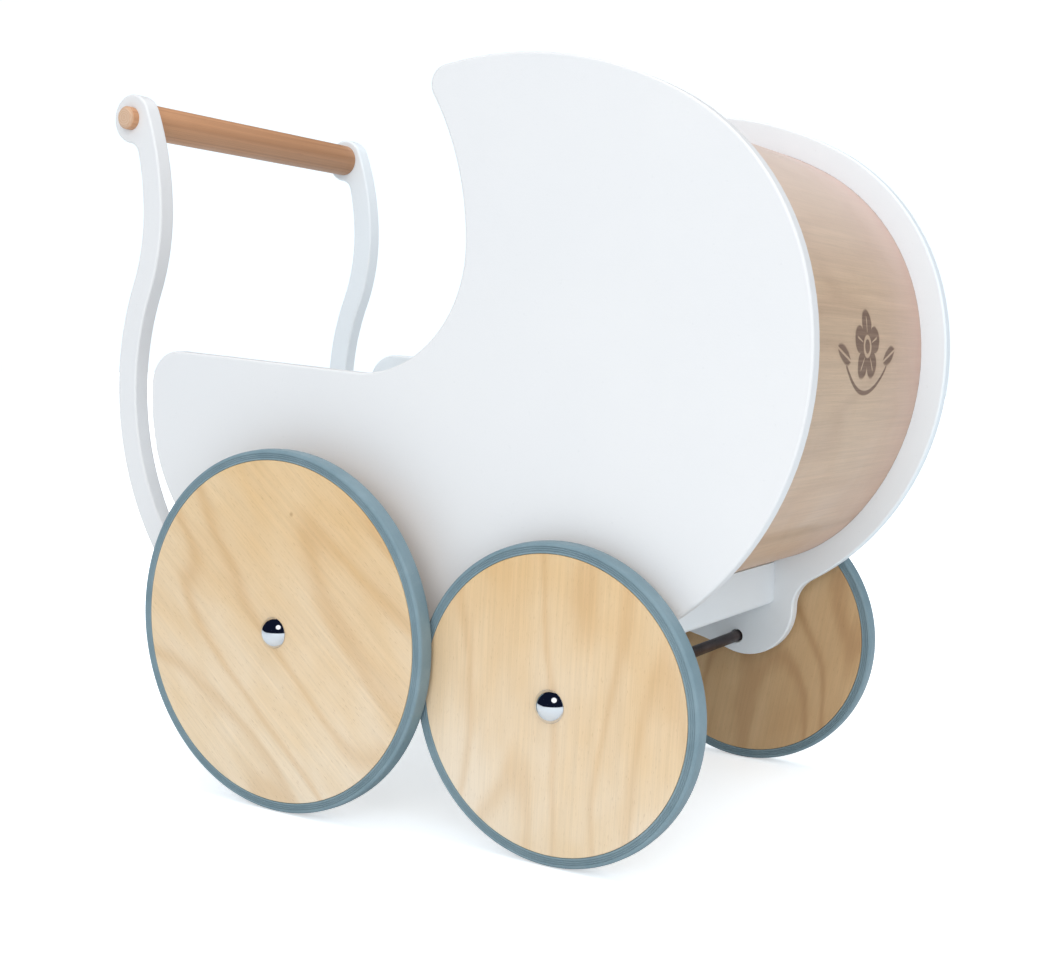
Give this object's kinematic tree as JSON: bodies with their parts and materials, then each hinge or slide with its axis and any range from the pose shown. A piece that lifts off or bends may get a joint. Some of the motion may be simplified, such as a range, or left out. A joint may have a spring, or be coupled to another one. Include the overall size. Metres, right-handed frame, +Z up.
{
  "type": "doll stroller",
  "caption": "Wooden doll stroller: crescent-hooded painted sides, a bent plywood hood, bowed handle arms with a dowel, and plywood disc wheels with rubber tyres.",
  "frame": {"origin": "on the ground under the middle of the whole stroller", "axes": "+X forwards, from the handle towards the hood; +Y to the left; +Z up"},
  "size_m": [0.5266, 0.3324, 0.4701],
  "materials": {
    "white_board": "satin white lacquer on birch plywood",
    "bent_plywood": "clear satin varnish",
    "birch_plywood": "clear satin varnish",
    "beech_dowel": "oiled",
    "beech_pin": "raw",
    "grey_rubber": "matt",
    "dark_steel": "blackened",
    "chrome_cap": "polished",
    "nylon": "natural nylon",
    "zinc_steel": "zinc plated"
  },
  "bodies": {
    "frame": {"arm_bolts": "zinc_steel", "arm_thread_inserts": "zinc_steel", "cam_bolts": "zinc_steel", "cam_locks": "zinc_steel", "floor_board": "white_board", "front_axle": "dark_steel", "front_axle_spacers": "nylon", "front_left_axle_cap": "chrome_cap", "front_rail": "white_board", "front_right_axle_cap": "chrome_cap", "handle_bar": "beech_dowel", "hood_shell": "bent_plywood", "left_handle_arm": "white_board", "left_side_panel": "white_board", "panel_bushes": "nylon", "rear_axle": "dark_steel", "rear_axle_spacers": "nylon", "rear_board": "white_board", "rear_left_axle_cap": "chrome_cap", "rear_right_axle_cap": "chrome_cap", "right_handle_arm": "white_board", "right_side_panel": "white_board", "wheel_washers": "zinc_steel", "wooden_pins": "beech_pin"},
    "front_left_wheel": {"front_left_wheel_disc": "birch_plywood", "front_left_tyre": "grey_rubber", "front_left_hub_bush": "nylon"},
    "front_right_wheel": {"front_right_wheel_disc": "birch_plywood", "front_right_tyre": "grey_rubber", "front_right_hub_bush": "nylon"},
    "rear_left_wheel": {"rear_left_wheel_disc": "birch_plywood", "rear_left_tyre": "grey_rubber", "rear_left_hub_bush": "nylon"},
    "rear_right_wheel": {"rear_right_wheel_disc": "birch_plywood", "rear_right_tyre": "grey_rubber", "rear_right_hub_bush": "nylon"}
  },
  "joints": [
    {"name": "front_left_wheel_spin", "type": "hinge", "parent": "frame", "child": "front_left_wheel", "pos_m": [0.11915, 0.1394, 0.0955], "axis": [0, 1, 0], "continuous": true},
    {"name": "front_right_wheel_spin", "type": "hinge", "parent": "frame", "child": "front_right_wheel", "pos_m": [0.11915, -0.1394, 0.0955], "axis": [0, 1, 0], "continuous": true},
    {"name": "rear_left_wheel_spin", "type": "hinge", "parent": "frame", "child": "rear_left_wheel", "pos_m": [-0.07885, 0.1537, 0.117], "axis": [0, 1, 0], "continuous": true},
    {"name": "rear_right_wheel_spin", "type": "hinge", "parent": "frame", "child": "rear_right_wheel", "pos_m": [-0.07885, -0.1537, 0.117], "axis": [0, 1, 0], "continuous": true}
  ]
}
